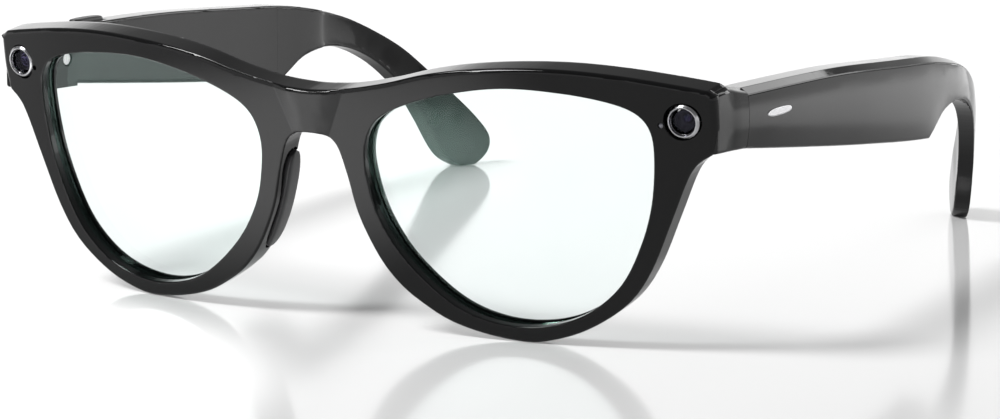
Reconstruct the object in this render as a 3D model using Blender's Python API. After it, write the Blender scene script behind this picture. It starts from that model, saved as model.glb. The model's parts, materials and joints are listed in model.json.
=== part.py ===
"""Smart glasses: a camera, a capture light, speakers and electronics in a spectacle frame.

Metres, +Z up. The glasses stand open on the rims and the temple tips, which touch z = 0.
The front looks along -Y. +X is the wearer's left. All sizes below are in millimetres.
"""

import math

import bmesh
import bpy
import numpy as np
from mathutils import Matrix, Vector

MM = 0.001
GAP = 0.3  # air between neighbouring pieces

# Front: 52 mm lenses, 20 mm bridge, a wrapped and tilted front surface
WRAP_RADIUS = 242.0
TILT = math.radians(7.6)
LENS_MID_Z = 25.9
RIM_DEPTH = 4.6
BROW_DEPTH = 6.0
GROOVE = (1.5, 3.6)  # depth range of the lens groove
GROOVE_REACH = 0.9
LENS_REACH = 0.55
LENS_DEPTH = (1.85, 3.25)
SLICE = 6.0  # spacing of the cuts that let flat faces follow a curve

# One lens opening, seen from the front: x, z
OPENING = [
    (60.4, 25.9), (61.0, 35.0), (59.3, 39.3), (54.6, 41.5), (46.0, 42.8), (36.0, 43.0),
    (26.0, 41.3), (17.5, 38.6), (12.6, 35.6), (10.6, 31.5), (10.5, 27.0), (12.2, 19.9),
    (16.8, 12.6), (24.5, 5.9), (32.0, 3.0), (40.1, 2.8), (47.9, 5.3), (54.2, 10.6), (58.1, 17.9),
]
# Half outline of the front, from the middle of the brow round to the top of the bridge arch
BROW_LINE = [(0, 40.4), (7, 40.9), (14.7, 42.4), (22.2, 44.4), (29.5, 45.7), (38, 46.5),
             (47, 46.7), (56.5, 46.1), (66, 44.9), (71.0, 44.1)]
END_LINE = [(71.3, 43.0), (71.3, 38.0), (70.7, 34.0)]
RIM_LINE = [(70.0, 33.5), (67.9, 32.0), (66.0, 28.8), (63.5, 22.7), (59.5, 13.4), (55.1, 7.4),
            (48.0, 2.6), (40.8, 0.2), (36.0, 0.0), (30.0, 0.8), (24.1, 2.5), (19.2, 5.2),
            (15.5, 8.0), (11.9, 12.4), (8.4, 19.5), (6.4, 27.0), (4.2, 32.0), (0, 33.0)]
NASAL_LINE = [(5.3, 30.3), (6.2, 27.0), (7.4, 22.6), (8.8, 18.5), (10.3, 15.2), (12.1, 12.1), (14.4, 9.1)]

# Modules in the front corners
MODULE_AT = (66.1, 39.15)
MODULE_WRAP = math.radians(5)
BEZEL_RADIUS = 2.86
DOT_AT = (62.5, 38.4)

# Hinge
HINGE_X = 66.0
HINGE_Y = 20.6
HINGE_Z = 38.7
LEAF_SCREW_Y = 16.3
END_BACK = 19.0
TEMPLE_START = 19.35
KNUCKLE_RADIUS = 1.5
KNUCKLES = [(35.2, 37.1), (37.4, 39.9), (40.2, 42.1)]
PIN_RADIUS = 0.7
BORE_RADIUS = 0.8

# Charging contacts and their holder at the back of the bridge, in flat front space
HOLDER_LOW = (-4.3, 3.3, 35.3)
HOLDER_HIGH = (4.3, RIM_DEPTH, 37.9)
CONTACT_X = 2.3
CONTACT_Z = 36.8
CONTACT_Y = (2.4, 4.0)
CONTACT_RADIUS = 0.65
CONTACT_WAY_RADIUS = 0.95

# Temple: side profile (y, z) and plan curve (y, x) of its outer face
TEMPLE_THICK = 5.6
TEMPLE_TOP = [(19.35, 43.5), (36.5, 43.1), (55.5, 42.3), (77, 40.6), (94, 39.1), (105, 37.2),
              (113, 35.1), (119, 32.9), (126, 29.5), (131.8, 25.8), (137.6, 20.6), (142.5, 15.6),
              (147.4, 10.3), (150.4, 5.8), (149.8, 2.2), (147.2, 0.0)]
TEMPLE_HOOK = [(144.2, 0.0), (141.2, 2.0), (138.9, 5.5), (136.6, 10.0), (133.3, 15.4), (128.8, 20.4),
               (123.4, 24.6), (117, 27.6), (110.5, 28.9), (105.0, 28.8), (100.2, 27.8), (96.4, 25.9)]
TEMPLE_BOTTOM = [(93.2, 24.3), (86, 25.0), (78, 25.9), (69, 27.0), (56, 28.6), (37, 31.1), (19.35, 33.5)]
TEMPLE_PLAN = [(0, 71.0), (10, 71.6), (30, 72.7), (50, 73.2), (70, 73.4), (90, 73.0), (105, 71.8),
               (115, 70.3), (125, 67.8), (135, 63.9), (145, 58.5), (152, 54.7), (160, 50.3)]
THICKNESS = [(0, 5.6), (95, 5.6), (110, 4.6), (130, 3.7), (150, 3.2), (160, 3.2)]
CAVITY = (22.9, 91.0)

# Pieces inside the temples: y range, z range and depths behind the outer face
BATTERY = ((46, 70), (32.2, 39.3), (1.7, 4.0))
SPEAKER = ((73, 84), (29.6, 36.4), (1.7, 3.9))
TEMPLE_MICROPHONE = ((86.0, 88.5), (29.0, 31.0), (1.7, 2.7))
LEFT_FLEX = ((23.5, 34.5), (37.6, 39.3), (1.6, 1.9))
RIGHT_FLEX = ((23.5, 36.2), (37.6, 39.3), (1.6, 1.9))
SWITCH_BASE = ((35.2, 43.5), (36.6, 39.8), (2.2, 3.8))
TOUCH_SENSOR = ((38, 68), (33.3, 39.0), (1.6, 2.0))
BUTTON_SWITCH = ((30, 34), (39.7, 40.6), (1.7, 4.0))

WALL = 1.3
COVER_SEAT = 4.3  # depth at which the inner cover's seat starts
SWITCH_AT = (67.2, 38.1, 38.2)
BUTTON_AT = (-69.9, 32.0, 43.2)
CORE_LINE = [(89, 30.5), (97, 32.2), (106, 32.8), (115, 31.2), (123, 27.8), (131, 21.8), (138, 14.6)]


def front_y(x, z):
    """Y of the front surface at x, z: a parabola in plan, leaning forward at the top."""
    return x * x / (2 * WRAP_RADIUS) - math.tan(TILT) * (z - LENS_MID_Z)


BRIDGE_TOP = BROW_LINE[0][1]
HOOK_BACK = 150.45
MIDDLE_Y = (front_y(0, BRIDGE_TOP) + HOOK_BACK) / 2


def spline(points, per_span, closed=False):
    """Points along a Catmull-Rom curve through the given ones."""
    p = np.array(points, float)
    if closed:
        p = np.vstack([p[-1], p, p[:2]])
    else:
        p = np.vstack([2 * p[0] - p[1], p, 2 * p[-1] - p[-2]])
    found = []
    for a, b, c, d in zip(p, p[1:], p[2:], p[3:]):
        for t in np.linspace(0, 1, per_span, endpoint=False):
            found.append(0.5 * (2 * b + (c - a) * t + (2 * a - 5 * b + 4 * c - d) * t * t
                                + (3 * b - a - 3 * c + d) * t ** 3))
    if not closed:
        found.append(p[-2])
    return [(float(q[0]), float(q[1])) for q in found]


def offset(outline, reach, closed=True):
    """The outline moved sideways by reach, to the right of its direction."""
    p = np.array(outline, float)
    if closed:
        along = np.roll(p, -1, 0) - np.roll(p, 1, 0)
    else:
        along = np.gradient(p, axis=0)
    along /= np.linalg.norm(along, axis=1)[:, None]
    side = np.stack([along[:, 1], -along[:, 0]], 1)
    return [tuple(q) for q in p + reach * side]


def value_at(points, x):
    """Height of a smooth line, given by points, at x."""
    line = np.array(spline(sorted(points), 8))
    return float(np.interp(x, line[:, 0], line[:, 1]))


def mirrored(points):
    return [(-x, z) for x, z in reversed(points)]


def opening_outline():
    return spline(OPENING, 3, closed=True)


def front_outline():
    half = spline(BROW_LINE, 2) + spline(END_LINE, 2) + spline(RIM_LINE, 3)
    return half + mirrored(half[1:-1])


def temple_outline():
    return spline(TEMPLE_TOP, 2) + spline(TEMPLE_HOOK, 2) + spline(TEMPLE_BOTTOM, 2)


def new_object(name, bm):
    bmesh.ops.recalc_face_normals(bm, faces=bm.faces)
    mesh = bpy.data.meshes.new(name)
    bm.to_mesh(mesh)
    bm.free()
    obj = bpy.data.objects.new(name, mesh)
    bpy.context.scene.collection.objects.link(obj)
    return obj


def loft(name, rings):
    """A closed body through rings of (x, y, z), each with the same number of points."""
    bm = bmesh.new()
    loops = [[bm.verts.new(Vector(p) * MM) for p in ring] for ring in rings]
    for low, high in zip(loops, loops[1:]):
        for i in range(len(low)):
            j = (i + 1) % len(low)
            bm.faces.new((low[i], low[j], high[j], high[i]))
    bm.faces.new(list(reversed(loops[0])))
    bm.faces.new(loops[-1])
    return new_object(name, bm)


def front_prism(name, outline, near, far):
    """An (x, z) outline with a depth range, still flat: y is the depth."""
    return loft(name, [[(x, y, z) for x, z in outline] for y in (near, far)])


def side_prism(name, outline, near, far):
    """A (y, z) outline between two depths behind the outer face, still flat: x is minus the depth."""
    return loft(name, [[(-s, y, z) for y, z in outline] for s in (near, far)])


def box(name, low, high):
    (x0, y0, z0), (x1, y1, z1) = low, high
    return loft(name, [[(x0, y0, z), (x1, y0, z), (x1, y1, z), (x0, y1, z)] for z in (z0, z1)])


def cylinder(name, start, end, radius, sides=20, end_radius=None):
    """A round bar from start to end, a cone if end_radius is given."""
    a, b = Vector(start), Vector(end)
    turn = (b - a).to_track_quat("Z", "Y")
    rings = []
    for centre, r in ((a, radius), (b, radius if end_radius is None else end_radius)):
        angles = [2 * math.pi * i / sides for i in range(sides)]
        rings.append([centre + turn @ Vector((r * math.cos(t), r * math.sin(t), 0)) for t in angles])
    obj = loft(name, rings)
    obj.data.shade_smooth()
    obj.data.set_sharp_from_angle(angle=math.radians(40))
    return obj


def tube(name, line, radius, depth, sides=6):
    """A bar along a (y, z) line in the temple's flat space, at a depth from its outer face."""
    path = spline(line, 2)
    rings = []
    for (y, z), (dy, dz) in zip(path, np.gradient(np.array(path), axis=0)):
        size = math.hypot(dy, dz)
        side = (-dz / size, dy / size)
        ring = []
        for i in range(sides):
            t = 2 * math.pi * i / sides
            out = radius * math.cos(t)
            ring.append((-depth + radius * math.sin(t), y + out * side[0], z + out * side[1]))
        rings.append(ring)
    return loft(name, rings)


def combine(obj, other, operation):
    """Applies a Boolean to obj and removes the other object."""
    modifier = obj.modifiers.new(operation.title(), "BOOLEAN")
    modifier.operation = operation
    modifier.solver = "EXACT"
    modifier.object = other
    bpy.context.view_layer.update()
    evaluated = obj.evaluated_get(bpy.context.evaluated_depsgraph_get())
    mesh = bpy.data.meshes.new_from_object(evaluated)
    obj.modifiers.clear()
    obj.data = mesh
    bpy.data.objects.remove(other)
    return obj


def cut(obj, *cutters):
    for cutter in cutters:
        combine(obj, cutter, "DIFFERENCE")
    return obj


def join(obj, *others):
    for other in others:
        combine(obj, other, "UNION")
    return obj


def bend(obj, axis, place, spacing=SLICE):
    """Cuts obj across one axis at even steps, then moves each point by place(x, y, z)."""
    bm = bmesh.new()
    bm.from_mesh(obj.data)
    values = [v.co[axis] / MM for v in bm.verts]
    normal = Vector([float(i == axis) for i in range(3)])
    for k in range(math.ceil(min(values) / spacing), math.floor(max(values) / spacing) + 1):
        parts = bm.verts[:] + bm.edges[:] + bm.faces[:]
        middle = normal * k * spacing * MM
        bmesh.ops.bisect_plane(bm, geom=parts, dist=1e-6, plane_co=middle, plane_no=normal)
    for v in bm.verts:
        v.co = Vector(place(*(v.co / MM))) * MM
    bmesh.ops.triangulate(bm, faces=bm.faces)
    bm.to_mesh(obj.data)
    bm.free()
    return obj


def on_front(x, depth, z):
    """Flat front space to the real place: depth runs square to the tilted front."""
    return x, front_y(x, z) + depth * math.cos(TILT), z + depth * math.sin(TILT)


def on_temple(x, y, z):
    """Flat temple space to the real place on the wearer's left side; -x is the depth."""
    thin = value_at(THICKNESS, y) / TEMPLE_THICK
    return value_at(TEMPLE_PLAN, y) + x * thin, y, z


def bend_front(obj):
    return bend(obj, 0, on_front)


def bend_temple(obj):
    return bend(obj, 1, on_temple)


def set_on_bridge(obj):
    """Places a flat-space piece square to the middle of the front, so that it stays flat."""
    for v in obj.data.vertices:
        x, depth, z = v.co / MM
        y = front_y(0, z) + depth * math.cos(TILT)
        v.co = Vector((x, y, z + depth * math.sin(TILT))) * MM
    return obj


def flip(obj):
    """Mirrors a piece to the wearer's right side."""
    bm = bmesh.new()
    bm.from_mesh(obj.data)
    bmesh.ops.scale(bm, vec=(-1, 1, 1), verts=bm.verts)
    bmesh.ops.reverse_faces(bm, faces=bm.faces)
    bm.to_mesh(obj.data)
    bm.free()
    return obj


def sided(obj, side):
    return obj if side > 0 else flip(obj)


MATERIALS = {
    "gloss_black": ((0.012, 0.012, 0.013, 1), 0.12, 0.0),
    "inner_black": ((0.02, 0.02, 0.021, 1), 0.3, 0.0),
    "lens_clear": ((0.93, 0.98, 0.98, 0.2), 0.03, 0.0),
    "pad_black": ((0.03, 0.03, 0.032, 1), 0.35, 0.0),
    "bezel_metal": ((0.25, 0.25, 0.26, 1), 0.25, 0.9),
    "dark_glass": ((0.01, 0.008, 0.02, 1), 0.05, 0.0),
    "diffuser": ((0.1, 0.1, 0.12, 1), 0.3, 0.0),
    "steel": ((0.6, 0.6, 0.6, 1), 0.3, 1.0),
    "gold": ((0.83, 0.62, 0.3, 1), 0.3, 1.0),
    "flex": ((0.35, 0.16, 0.03, 1), 0.45, 0.0),
    "board": ((0.02, 0.12, 0.06, 1), 0.5, 0.0),
    "cell": ((0.45, 0.46, 0.48, 1), 0.4, 0.6),
    "mesh_dark": ((0.03, 0.03, 0.03, 1), 0.6, 0.3),
}


def material(name):
    found = bpy.data.materials.get(name)
    if found:
        return found
    colour, roughness, metallic = MATERIALS[name]
    made = bpy.data.materials.new(name)
    made.use_nodes = True
    shader = made.node_tree.nodes["Principled BSDF"]
    shader.inputs["Base Color"].default_value = colour
    shader.inputs["Roughness"].default_value = roughness
    shader.inputs["Metallic"].default_value = metallic
    made.diffuse_color = colour
    return made


def empty(name, place, parent=None):
    made = bpy.data.objects.new(name, None)
    bpy.context.scene.collection.objects.link(made)
    made.location = Vector(place) * MM
    made.parent = parent
    return made


def finish(obj, name, material_name, pivot, pivot_at=(0, 0, 0)):
    """Names a piece, gives it its material and hangs it on its pivot."""
    obj.name = name
    obj.data.name = name
    obj.data.materials.clear()
    obj.data.materials.append(material(material_name))
    obj.data.transform(Matrix.Translation(-Vector(pivot_at) * MM))
    obj.parent = pivot
    return obj


def channel_line(x):
    """Height of the middle of the flex channel in the brow."""
    return value_at(BROW_LINE, abs(x)) - 1.95


def brow_strip(name, reach, half, near, far):
    """A band that follows the brow from -reach to reach."""
    rings = []
    for x in (-reach, *np.arange(-9, 10) * SLICE, reach):
        z = channel_line(x)
        rings.append([(x, near, z - half), (x, near, z + half), (x, far, z + half), (x, far, z - half)])
    return loft(name, rings)


def nasal_strip(name, inner, outer, near, far, trim=0):
    """A band beside the nose on the left rim, between two offsets from the rim's nasal edge."""
    edge = spline(NASAL_LINE, 3)
    line = edge[trim:len(edge) - trim]
    ring = offset(line, inner, closed=False) + list(reversed(offset(line, outer, closed=False)))
    return front_prism(name, ring, near, far)


def end_block(side):
    """The part of the front that reaches back to the hinge."""
    z_low, z_high = 33.9, 43.9
    rings = []
    for y, x_out, drop in ((9.9, 71.45, 0.0), (END_BACK, 71.95, 0.3)):
        ring = [(62.6, z_low - drop), (x_out, z_low - drop), (x_out, z_high - drop), (62.6, z_high - drop)]
        rings.append([(x, y, z) for x, z in ring])
    return sided(loft("end_block", rings), side)


def module_axis(side):
    """Centre of a corner module's front face, and the direction that it looks in."""
    x, z = MODULE_AT
    centre = Vector((side * x, front_y(x, z), z))
    look = Vector((side * math.sin(MODULE_WRAP), -math.cos(MODULE_WRAP), -math.sin(TILT))).normalized()
    return centre, look


def module_bar(name, side, near, far, radius, sides=24):
    """A round bar on a module's axis, between two depths behind its face."""
    centre, look = module_axis(side)
    return cylinder(name, centre - look * near, centre - look * far, radius, sides)


def leaf_screw_bar(name, side, near, far, radius):
    """A round bar on the axis of a front leaf's screw, between two distances from the middle."""
    start = (side * near, LEAF_SCREW_Y, HINGE_Z)
    return cylinder(name, start, (side * far, LEAF_SCREW_Y, HINGE_Z), radius, 12)


def build_front_frame():
    brow_low = [(x, value_at(BROW_LINE, abs(x)) - 5.2) for x in (68, 50, 30, 12, 0, -12, -30, -50, -68)]
    brow_high = [(x, value_at(BROW_LINE, abs(x)) - 0.05) for x in np.linspace(-68, 68, 25)]
    frame = front_prism("front_frame", front_outline(), 0, RIM_DEPTH)
    join(frame, front_prism("brow", brow_low + brow_high, 1.0, BROW_DEPTH))
    for side in (1, -1):
        join(frame, sided(nasal_strip("bearing", -0.4, -2.6, 1.0, 5.8), side))
        cut(frame, sided(front_prism("see", opening_outline(), -2, 9), side))
        cut(frame, sided(front_prism("groove", offset(opening_outline(), GROOVE_REACH), *GROOVE), side))
        cut(frame, sided(nasal_strip("pad_seat", 3.0, -1.3, 1.9, 9.5, trim=3), side))
    cut(frame, brow_strip("cover_seat", 61, 1.4, BROW_DEPTH - 1.3, 9),
        brow_strip("flex_channel", 63, 0.85, BROW_DEPTH - 2.1, BROW_DEPTH - 1.0),
        box("contact_seat", (-4.6, 3.0, 35.0), (4.6, 9, 38.2)),
        box("microphone_seat", (6.2, 3.0, 36.2), (9.4, 9, 38.6)))
    bend_front(frame)
    for side in (1, -1):
        join(frame, end_block(side))
    for side in (1, -1):
        cut(frame, module_bar("bezel_seat", side, -3, 1.9, BEZEL_RADIUS + 0.25),
            module_bar("barrel_seat", side, 1, 6.2, 2.35, 16),
            sided(box("cable_way", (62.0, 10.4, 40.2), (66.0, 13.3, 43.2)), side),
            sided(box("leaf_slot", (64.6, 14.0, 35.1), (67.3, 20, 42.2)), side),
            leaf_screw_bar("screw_way", side, 61.5, 69.6, 0.85),
            leaf_screw_bar("screw_head_way", side, 61.5, 63.7, 1.35))
    x, z = DOT_AT
    cut(frame, cylinder("dot_seat", (x, 2, z), (x, front_y(x, z) + 1.5, z), 0.75, 12))
    return frame


def build_nose_pad(side):
    return sided(bend_front(nasal_strip("nose_pad", 0.7, -1.0, 2.2, 6.3, trim=4)), side)


def build_lens(side):
    return sided(bend_front(front_prism("lens", offset(opening_outline(), LENS_REACH), *LENS_DEPTH)), side)


def build_brow_cover():
    return bend_front(brow_strip("brow_cover", 60.6, 1.1, BROW_DEPTH - 1.0, BROW_DEPTH))


def build_front_flex():
    return bend_front(brow_strip("front_flex", 60, 0.55, BROW_DEPTH - 1.8, BROW_DEPTH - 1.6))


def build_bezel(side):
    return cut(module_bar("bezel", side, -0.15, 1.6, BEZEL_RADIUS), module_bar("mouth", side, -1, 3, 2.15))


def front_leaf(side):
    """The hinge half that is screwed into the front."""
    leaf = box("leaf", (65.0, 14.4, 35.4), (66.3, 18.6, 41.9))
    for low, high in (KNUCKLES[0], KNUCKLES[2]):
        join(leaf, box("web", (65.1, 18.0, low + 0.25), (66.9, 20.6, high - 0.25)))
        join(leaf, cylinder("knuckle", (HINGE_X, HINGE_Y, low), (HINGE_X, HINGE_Y, high), KNUCKLE_RADIUS))
    cut(leaf, cylinder("bore", (HINGE_X, HINGE_Y, 30), (HINGE_X, HINGE_Y, 46), BORE_RADIUS, 16),
        cylinder("screw_hole", (64, LEAF_SCREW_Y, HINGE_Z), (68, LEAF_SCREW_Y, HINGE_Z), 0.85, 12))
    return sided(leaf, side)


def temple_leaf(side):
    """The hinge half that turns with the temple."""
    low, high = KNUCKLES[1]
    leaf = cylinder("leaf", (HINGE_X, HINGE_Y, low), (HINGE_X, HINGE_Y, high), KNUCKLE_RADIUS)
    join(leaf, box("arm", (66.4, 20.9, low + 0.2), (69.7, 22.3, high - 0.2)),
         box("plate", (68.5, 21.6, low - 0.9), (69.7, 28.5, high + 0.9)))
    cut(leaf, cylinder("bore", (HINGE_X, HINGE_Y, 30), (HINGE_X, HINGE_Y, 46), BORE_RADIUS, 16))
    return sided(leaf, side)


def hinge_screw(side):
    x = side * HINGE_X
    screw = cylinder("screw", (x, HINGE_Y, 35.3), (x, HINGE_Y, 42.6), PIN_RADIUS, 16)
    return join(screw, cylinder("head", (x, HINGE_Y, 42.4), (x, HINGE_Y, 43.1), 1.2, 16))


def leaf_screw(side):
    screw = leaf_screw_bar("screw", side, 63.5, 69.2, 0.55)
    return join(screw, leaf_screw_bar("head", side, 62.8, 63.6, 1.05))


def cavity_outline(margin=0.0):
    """Side outline of the temple's hollow, grown by margin."""
    start, end = CAVITY
    ys = np.linspace(start - margin, end + margin, 12)
    low = [(y, value_at(TEMPLE_BOTTOM, y) + WALL + 0.4 - margin) for y in ys]
    high = [(y, value_at(TEMPLE_TOP[:8], y) - WALL + margin) for y in reversed(ys)]
    return low + high


def build_temple_shell(side):
    shell = side_prism("temple_shell", temple_outline(), 0, TEMPLE_THICK)
    cut(shell, side_prism("hollow", cavity_outline(), WALL, 9),
        side_prism("seat", cavity_outline(0.7), COVER_SEAT, 9),
        tube("core_way", CORE_LINE, 0.95, TEMPLE_THICK / 2),
        speaker_slot("speaker_slot", 73.0, 83.0, 2.1, 3.7, -1, 2.5))
    if side < 0:
        cut(shell, button_prism("button_way", 0.3, -3.0, 3.0))
    bend_temple(shell)
    cut(shell, cylinder("hinge_way", (HINGE_X, HINGE_Y, 34.7), (HINGE_X, HINGE_Y, 43.4), 2.0),
        box("arm_way", (65, 20.5, 36.0), (70.1, 24.0, 41.2)))
    return sided(shell, side)


def speaker_slot(name, start, end, near, far, low, high):
    """A band that follows the temple's lower edge, from low to high above it."""
    ys = np.linspace(start, end, 4)
    bottom = [(y, value_at(TEMPLE_BOTTOM, y) + low) for y in ys]
    top = [(y, value_at(TEMPLE_BOTTOM, y) + high) for y in reversed(ys)]
    return side_prism(name, bottom + top, near, far)


def button_prism(name, grow, low, high):
    """The capture button's outline on the temple's top, from low to high around the top line."""
    ys = (27.5 - grow, 32.0, 36.5 + grow)
    bottom = [(y, value_at(TEMPLE_TOP[:8], y) + low) for y in ys]
    top = [(y, value_at(TEMPLE_TOP[:8], y) + high) for y in reversed(ys)]
    return side_prism(name, bottom + top, 1.5 - grow, 4.0 + grow)


def build_inner_cover(side):
    cover = side_prism("inner_cover", cavity_outline(0.4), COVER_SEAT + 0.3, TEMPLE_THICK)
    if side > 0:
        cut(cover, side_prism("switch_way", rectangle(36.3, 41.7, 37.0, 39.4), 3, 7))
    bend_temple(cover)
    cut(cover, cylinder("knuckle_way", (HINGE_X, HINGE_Y, 34.7), (HINGE_X, HINGE_Y, 43.4), 2.4),
        box("arm_way", (65, 20.5, 36.2), (70.1, 23.6, 41.0)))
    return sided(cover, side)


def rectangle(y0, y1, z0, z1):
    return [(y0, z0), (y1, z0), (y1, z1), (y0, z1)]


def slab(name, side, y_range, z_range, depths):
    """A flat piece inside a temple, bent to follow it."""
    return sided(bend_temple(side_prism(name, rectangle(*y_range, *z_range), *depths)), side)


def build_main_board():
    board = side_prism("board", rectangle(37, 70, 33.3, 39.3), 2.3, 3.0)
    for y0, y1, z0, z1 in ((39, 45, 34, 38), (48, 57, 34, 39), (60, 64, 34, 37)):
        join(board, side_prism("chip", rectangle(y0, y1, z0, z1), 2.8, 3.8))
    return sided(bend_temple(board), -1)


def build_switch_knob():
    knob = side_prism("knob", rectangle(36.6, 39.6, 37.3, 39.1), 4.1, TEMPLE_THICK + 0.5)
    return bend_temple(knob)


def make_front(pivot):
    finish(build_front_frame(), "front_frame", "gloss_black", pivot)
    finish(build_brow_cover(), "brow_rear_cover", "inner_black", pivot)
    finish(build_front_flex(), "front_flex_cable", "flex", pivot)
    for side, word in ((1, "left"), (-1, "right")):
        finish(build_lens(side), f"lens_{word}", "lens_clear", pivot)
        finish(build_nose_pad(side), f"nose_pad_{word}", "pad_black", pivot)
        finish(front_leaf(side), f"hinge_front_leaf_{word}", "steel", pivot)
        finish(hinge_screw(side), f"hinge_screw_{word}", "steel", pivot)
        finish(leaf_screw(side), f"leaf_screw_{word}", "steel", pivot)
    make_modules(pivot)
    make_contacts(pivot)
    microphone = bend_front(box("microphone", (6.5, 3.3, 36.5), (9.1, 4.4, 38.3)))
    finish(microphone, "bridge_microphone", "steel", pivot)


def make_contacts(pivot):
    holder = set_on_bridge(box("holder", HOLDER_LOW, HOLDER_HIGH))
    near, far = CONTACT_Y
    for x, word in ((CONTACT_X, "left"), (-CONTACT_X, "right")):
        cut(holder, cylinder("contact_way", (x, 0, CONTACT_Z), (x, 12, CONTACT_Z), CONTACT_WAY_RADIUS, 12))
        contact = cylinder("contact", (x, near, CONTACT_Z), (x, far, CONTACT_Z), CONTACT_RADIUS, 12)
        finish(contact, f"charging_contact_{word}", "gold", pivot)
    finish(holder, "contact_holder", "inner_black", pivot)


def make_modules(pivot):
    finish(build_bezel(1), "camera_bezel", "bezel_metal", pivot)
    finish(module_bar("glass", 1, 0.35, 0.95, 1.85), "camera_glass", "dark_glass", pivot)
    finish(module_bar("barrel", 1, 1.25, 4.6, 1.8, 16), "camera_barrel", "inner_black", pivot)
    finish(module_bar("sensor", 1, 4.9, 5.7, 1.9, 8), "camera_sensor", "board", pivot)
    finish(build_bezel(-1), "light_bezel", "bezel_metal", pivot)
    finish(module_bar("diffuser", -1, 0.35, 0.95, 1.85), "light_diffuser", "diffuser", pivot)
    finish(module_bar("lamp", -1, 1.25, 2.2, 1.2, 12), "light_lamp", "cell", pivot)
    finish(module_bar("lamp_board", -1, 4.9, 5.7, 1.9, 8), "light_board", "board", pivot)
    x, z = DOT_AT
    face = front_y(x, z)
    dot = cylinder("dot", (x, face + 0.15, z), (x, face + 1.2, z), 0.42, 12)
    finish(dot, "indicator_light", "diffuser", pivot)


def make_temple_body(side, word, pivot, at):
    core = bend_temple(tube("core", CORE_LINE[1:-1], 0.5, TEMPLE_THICK / 2))
    mesh = bend_temple(speaker_slot("mesh", 73.3, 82.7, 2.4, 3.4, 0.3, 1.1))
    pieces = (
        (build_temple_shell(side), "temple_shell", "gloss_black"),
        (build_inner_cover(side), "temple_inner_cover", "inner_black"),
        (temple_leaf(side), "hinge_temple_leaf", "steel"),
        (sided(core, side), "temple_core", "steel"),
        (slab("speaker", side, *SPEAKER), "speaker", "mesh_dark"),
        (sided(mesh, side), "speaker_mesh", "steel"),
        (slab("microphone", side, *TEMPLE_MICROPHONE), "temple_microphone", "steel"),
    )
    for obj, name, material_name in pieces:
        finish(obj, f"{name}_{word}", material_name, pivot, at)


def make_left_temple(pivot, at, switch_pivot):
    make_temple_body(1, "left", pivot, at)
    finish(slab("battery", 1, *BATTERY), "battery", "cell", pivot, at)
    finish(slab("flex", 1, *LEFT_FLEX), "temple_flex_left", "flex", pivot, at)
    finish(slab("base", 1, *SWITCH_BASE), "power_switch_base", "inner_black", pivot, at)
    finish(build_switch_knob(), "power_switch", "pad_black", switch_pivot, SWITCH_AT)


def make_right_temple(pivot, at, button_pivot):
    make_temple_body(-1, "right", pivot, at)
    finish(build_main_board(), "main_board", "board", pivot, at)
    finish(slab("flex", -1, *RIGHT_FLEX), "temple_flex_right", "flex", pivot, at)
    finish(slab("touch", -1, *TOUCH_SENSOR), "touch_sensor", "flex", pivot, at)
    finish(slab("button_switch", -1, *BUTTON_SWITCH), "button_switch", "steel", pivot, at)
    button = bend_temple(button_prism("button", 0.0, -1.7, 0.75))
    finish(flip(button), "capture_button", "inner_black", button_pivot, BUTTON_AT)


def main():
    for obj in list(bpy.data.objects):
        bpy.data.objects.remove(obj)
    glasses = empty("glasses", (0, -MIDDLE_Y, 0))
    left_at = (HINGE_X, HINGE_Y, HINGE_Z)
    right_at = (-HINGE_X, HINGE_Y, HINGE_Z)
    left_hinge = empty("left_hinge", left_at, glasses)
    right_hinge = empty("right_hinge", right_at, glasses)
    switch_pivot = empty("switch_slide", Vector(SWITCH_AT) - Vector(left_at), left_hinge)
    button_pivot = empty("button_slide", Vector(BUTTON_AT) - Vector(right_at), right_hinge)
    make_front(glasses)
    make_left_temple(left_hinge, left_at, switch_pivot)
    make_right_temple(right_hinge, right_at, button_pivot)


main()
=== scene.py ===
"""The looks of the smart glasses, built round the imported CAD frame.

Shapes are modelled in millimetres in two flat spaces and then bent into place:
the front as x, depth behind its face, z, and a temple as minus the depth, y, z.
The glasses stand open on the floor, the front looks along -Y, +X is the wearer's left.
"""

import json
import math

import bmesh
import bpy
import numpy as np
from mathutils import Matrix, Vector


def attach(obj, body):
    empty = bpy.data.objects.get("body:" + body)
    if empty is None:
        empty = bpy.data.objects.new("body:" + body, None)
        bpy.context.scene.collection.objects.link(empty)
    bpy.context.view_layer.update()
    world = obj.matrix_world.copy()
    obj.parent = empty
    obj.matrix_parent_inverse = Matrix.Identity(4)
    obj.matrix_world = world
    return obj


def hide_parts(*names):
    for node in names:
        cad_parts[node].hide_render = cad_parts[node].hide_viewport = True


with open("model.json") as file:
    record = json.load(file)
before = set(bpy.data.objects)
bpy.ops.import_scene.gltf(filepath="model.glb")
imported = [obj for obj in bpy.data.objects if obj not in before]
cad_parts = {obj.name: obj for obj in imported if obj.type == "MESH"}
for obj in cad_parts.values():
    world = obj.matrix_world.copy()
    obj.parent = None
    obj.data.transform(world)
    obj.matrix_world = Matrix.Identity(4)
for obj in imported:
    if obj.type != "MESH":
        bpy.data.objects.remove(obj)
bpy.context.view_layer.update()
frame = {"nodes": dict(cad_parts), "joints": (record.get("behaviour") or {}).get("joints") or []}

MM = 0.001
SHARP = math.radians(33)
STEP = 0.8

# Front surface: a parabola in plan that leans forward at the top
WRAP_RADIUS = 242.0
TILT = math.radians(7.6)
LENS_MID_Z = 25.9
RIM_DEPTH = 4.6
BROW_EXTRA = 1.4
BROW_DEPTH = RIM_DEPTH + BROW_EXTRA
BEARING_EXTRA = 1.2
GROOVE = (1.5, 3.6)
GROOVE_REACH = 0.9
LENS_DEPTH = (1.85, 3.25)
LENS_REACH = 0.55

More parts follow.
